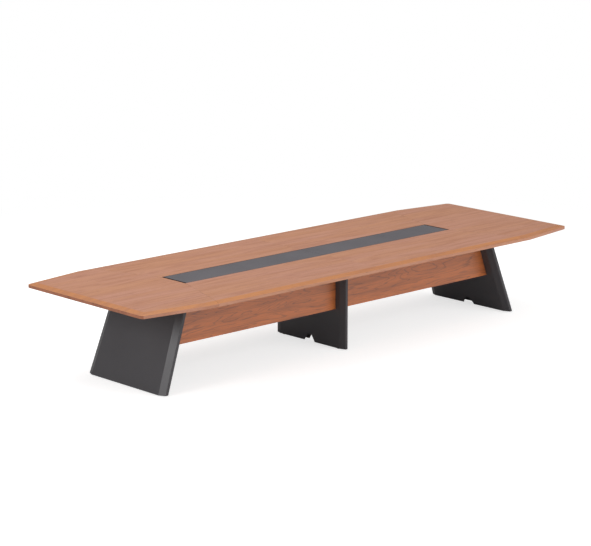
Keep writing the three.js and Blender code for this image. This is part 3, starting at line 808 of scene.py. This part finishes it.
class TABLE_OT_fasteners(bpy.types.Operator):
    """Pan head screws in the leg plates, seam plates, brackets and trays"""

    bl_idname = "table.fasteners"
    bl_label = "Fasteners"

    DOWN = Vector((0, 0, -1))

    def execute(self, context):
        tree, sockets = screw_tree()
        leg_screws = [f"screw_{leg}_{i}" for leg in LEGS for i in range(1, 5)]
        boxes = [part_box(node) for node in leg_screws]
        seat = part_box("leg_middle_plate")[0].z
        centres = [(low + high) / 2 for low, high in boxes]
        places = [(Vector((centre.x, centre.y, seat)), self.DOWN) for centre in centres]
        piece = self.row("leg_screws", tree, sockets, places, boxes[0][1].z - seat)
        stand_for(piece, "frame", "bright_steel", *leg_screws)
        places = self.seam_places() + self.bracket_places() + self.tray_places()
        piece = self.row("plate_screws", tree, sockets, places, 0.0)
        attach(piece, "frame")
        return {"FINISHED"}

    def row(self, name, tree, sockets, places, shank):
        return grow(name, tree, sockets, {
            "Radius": finish().screw_head, "Height": HEAD_HEIGHT, "Shank": shank,
            "Recess across": (RECESS_LENGTH, RECESS_WIDTH, 2 * RECESS_DEPTH),
            "Recess along": (RECESS_WIDTH, RECESS_LENGTH, 2 * RECESS_DEPTH),
            "Material": zinc_plate()}, screw_points(name, places))

    def seam_places(self):
        """Two screws in each end of each seam plate."""
        found = []
        for side in SIDES:
            for depth in DEPTHS:
                low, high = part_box(f"seam_plate_{depth}_{side}")
                middle = (low + high) / 2
                slant = SEAM_CROSS_ANGLE * -SIGN[side] * SIGN[depth]
                for along in SEAM_SCREWS:
                    across = Vector((math.cos(slant), math.sin(slant), 0))
                    at = Vector((middle.x, middle.y, low.z)) + along * across
                    found.append((at, self.DOWN))
        return found

    def bracket_places(self):
        """Two screws through each bracket into its apron, and two into its leg."""
        found = []
        for side in SIDES:
            for depth in DEPTHS:
                for part, away, lean in (("middle", 1, 0.0), ("end", -1, LEG_LEAN)):
                    low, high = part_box(f"bracket_{part}_{depth}_{side}")
                    outward, inward = SIGN[side] * away, -SIGN[depth]
                    board_y = high.y if inward < 0 else low.y
                    nearest = min(abs(low.x), abs(high.x))
                    from_leg = Vector((outward * math.cos(lean), 0, -math.sin(lean)))
                    for share in (0.25, 0.75):
                        z = low.z + share * (high.z - low.z)
                        reach = BRACKET_WIDTH + math.tan(lean) * (high.z - z) if part == "end" else 0.0
                        corner = Vector((SIGN[side] * (nearest + reach), board_y, z))
                        on_board = Vector((outward * BRACKET_SCREW, inward * BRACKET_THICK, 0))
                        on_leg = Vector((outward * BRACKET_THICK, inward * BRACKET_SCREW, 0))
                        found.append((corner + on_board, Vector((0, inward, 0))))
                        found.append((corner + on_leg, from_leg))
        return found

    def tray_places(self):
        """Screws along both flanges of each tray."""
        found = []
        for side in SIDES:
            low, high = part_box(f"cable_tray_{side}")
            for i in range(FLANGE_SCREW_COUNT):
                x = low.x + (i + 0.5) * (high.x - low.x) / FLANGE_SCREW_COUNT
                for y in (low.y + FLANGE_SCREW, high.y - FLANGE_SCREW):
                    found.append((Vector((x, y, high.z - FLANGE_THICK)), self.DOWN))
        return found


# Stage


def aim(thing, place, target):
    thing.location = place
    thing.rotation_mode = "QUATERNION"
    thing.rotation_quaternion = (Vector(target) - Vector(place)).to_track_quat("-Z", "Y")


def lamp(name, place, target, size, power):
    data = bpy.data.lights.new(name, "AREA")
    data.shape = "RECTANGLE"
    data.size, data.size_y = size
    data.energy = power
    thing = bpy.data.objects.new(name, data)
    bpy.context.scene.collection.objects.link(thing)
    aim(thing, place, target)


class TABLE_OT_stage(bpy.types.Operator):
    """Pale floor, soft studio light and the camera"""

    bl_idname = "table.stage"
    bl_label = "Stage"

    FLOOR_HALF = 60.0
    FLOOR_DROP = 0.5 * MM
    SHADOW_REACH = 3.2

    def execute(self, context):
        studio = context.scene.table_studio
        context.scene.view_settings.view_transform = "Standard"
        self.make_camera(context.scene, studio)
        self.make_world(context.scene, studio)
        self.make_floor(studio)
        lamp("front_softbox", (3.0, -9.0, 5.0), (0, 0, 0.6), (7.0, 5.0), studio.key_power)
        lamp("left_strip_box", (-7.4, -0.2, 2.9), (-1.95, -0.45, 0.4), (1.6, 2.0), studio.side_power)
        lamp("overhead_softbox", (-0.8, 2.2, 7.5), (0, 0, 0.6), (8.0, 5.0), studio.fill_power)
        return {"FINISHED"}

    def make_camera(self, scene, studio):
        data = bpy.data.cameras.new("photo_camera")
        data.lens = studio.camera_lens
        data.sensor_width = 36.0
        data.clip_end = 200.0
        camera = bpy.data.objects.new("photo_camera", data)
        scene.collection.objects.link(camera)
        level = math.cos(studio.camera_pitch)
        view = Vector((
            level * math.cos(studio.camera_heading), level * math.sin(studio.camera_heading),
            -math.sin(studio.camera_pitch)))
        target = Vector(studio.camera_target)
        aim(camera, target - view * studio.camera_distance, target)
        scene.camera = camera

    def make_world(self, scene, studio):
        """White to the camera, and for the light a sky that is brighter in front than behind."""
        world = bpy.data.worlds.new("studio_white")
        world.use_nodes = True
        tree = world.node_tree
        tree.nodes.clear()
        path = add_node(tree, "ShaderNodeLightPath")
        toward = add_node(tree, "ShaderNodeTexCoord")
        axes = add_node(tree, "ShaderNodeSeparateXYZ", inputs={0: toward.outputs["Generated"]})
        sky = add_node(tree, "ShaderNodeMapRange", inputs={
            "Value": axes.outputs["Y"], "From Min": -1.0, "From Max": 1.0,
            "To Min": studio.sky_front, "To Max": studio.sky_back})
        strength = add_node(tree, "ShaderNodeMapRange", inputs={
            "Value": path.outputs["Is Camera Ray"], "To Min": sky.outputs[0], "To Max": 1.0})
        light = add_node(tree, "ShaderNodeBackground", inputs={
            "Color": linear("#FFFFFF"), "Strength": strength.outputs[0]})
        add_node(tree, "ShaderNodeOutputWorld", inputs={0: light.outputs[0]})
        scene.world = world

    def make_floor(self, studio):
        mesh = bpy.data.meshes.new("studio_floor")
        half, drop = self.FLOOR_HALF, -self.FLOOR_DROP
        corners = [(-half, -half, drop), (half, -half, drop), (half, half, drop), (-half, half, drop)]
        mesh.from_pydata(corners, [], [(0, 1, 2, 3)])
        floor = link_piece("studio_floor", mesh)
        material, tree, out = new_material("seamless_paper_white")
        path = add_node(tree, "ShaderNodeLightPath")
        place = add_node(tree, "ShaderNodeTexCoord")
        away = add_node(tree, "ShaderNodeVectorMath", {"operation": "LENGTH"}, {0: place.outputs["Object"]})
        far = add_node(tree, "ShaderNodeMapRange", {"interpolation_type": "SMOOTHSTEP"}, {
            "Value": away.outputs["Value"],
            "From Min": self.SHADOW_REACH, "From Max": 2 * self.SHADOW_REACH})
        paper = add_node(tree, "ShaderNodeBsdfDiffuse", inputs={"Color": linear("#DCDCDC")})
        shade = (studio.floor_shadow,) * 3 + (1.0,)
        shaded = add_node(tree, "ShaderNodeBsdfDiffuse", inputs={"Color": shade})
        glow = add_node(tree, "ShaderNodeEmission", inputs={
            "Color": linear("#FFFFFF"), "Strength": studio.floor_glow})
        white = add_node(tree, "ShaderNodeEmission", inputs={
            "Color": linear("#FFFFFF"), "Strength": 1.0})
        near = add_node(tree, "ShaderNodeAddShader", inputs={0: shaded.outputs[0], 1: glow.outputs[0]})
        seen = add_node(tree, "ShaderNodeMixShader", inputs={
            0: far.outputs[0], 1: near.outputs[0], 2: white.outputs[0]})
        both = add_node(tree, "ShaderNodeMixShader", inputs={
            0: path.outputs["Is Camera Ray"], 1: paper.outputs[0], 2: seen.outputs[0]})
        tree.links.new(both.outputs[0], out.inputs[0])
        mesh.materials.append(material)


class TABLE_PT_looks(bpy.types.Panel):
    """The table's pieces and studio"""

    bl_idname = "TABLE_PT_looks"
    bl_label = "Conference table"
    bl_space_type = "VIEW_3D"
    bl_region_type = "UI"
    bl_category = "Table"

    def draw(self, context):
        for operator in OPERATORS:
            self.layout.operator(operator.bl_idname)
        for group in (context.scene.table_finish, context.scene.table_studio):
            for name in group.__annotations__:
                self.layout.prop(group, name)


OPERATORS = (
    TABLE_OT_stage, TABLE_OT_tabletop, TABLE_OT_lids, TABLE_OT_hinges, TABLE_OT_aprons,
    TABLE_OT_legs, TABLE_OT_feet, TABLE_OT_steelwork, TABLE_OT_fasteners,
)
CLASSES = (TableFinish, TableStudio, *OPERATORS, TABLE_PT_looks)


def register():
    for cls in CLASSES:
        bpy.utils.register_class(cls)
    bpy.types.Scene.table_finish = bpy.props.PointerProperty(type=TableFinish)
    bpy.types.Scene.table_studio = bpy.props.PointerProperty(type=TableStudio)


def unregister():
    del bpy.types.Scene.table_studio
    del bpy.types.Scene.table_finish
    for cls in reversed(CLASSES):
        bpy.utils.unregister_class(cls)


def main():
    register()
    bpy.ops.table.stage()
    bpy.ops.table.tabletop()
    bpy.ops.table.lids()
    bpy.ops.table.hinges()
    bpy.ops.table.aprons()
    bpy.ops.table.legs()
    bpy.ops.table.feet()
    bpy.ops.table.steelwork()
    bpy.ops.table.fasteners()


if __name__ == "__main__":
    main()
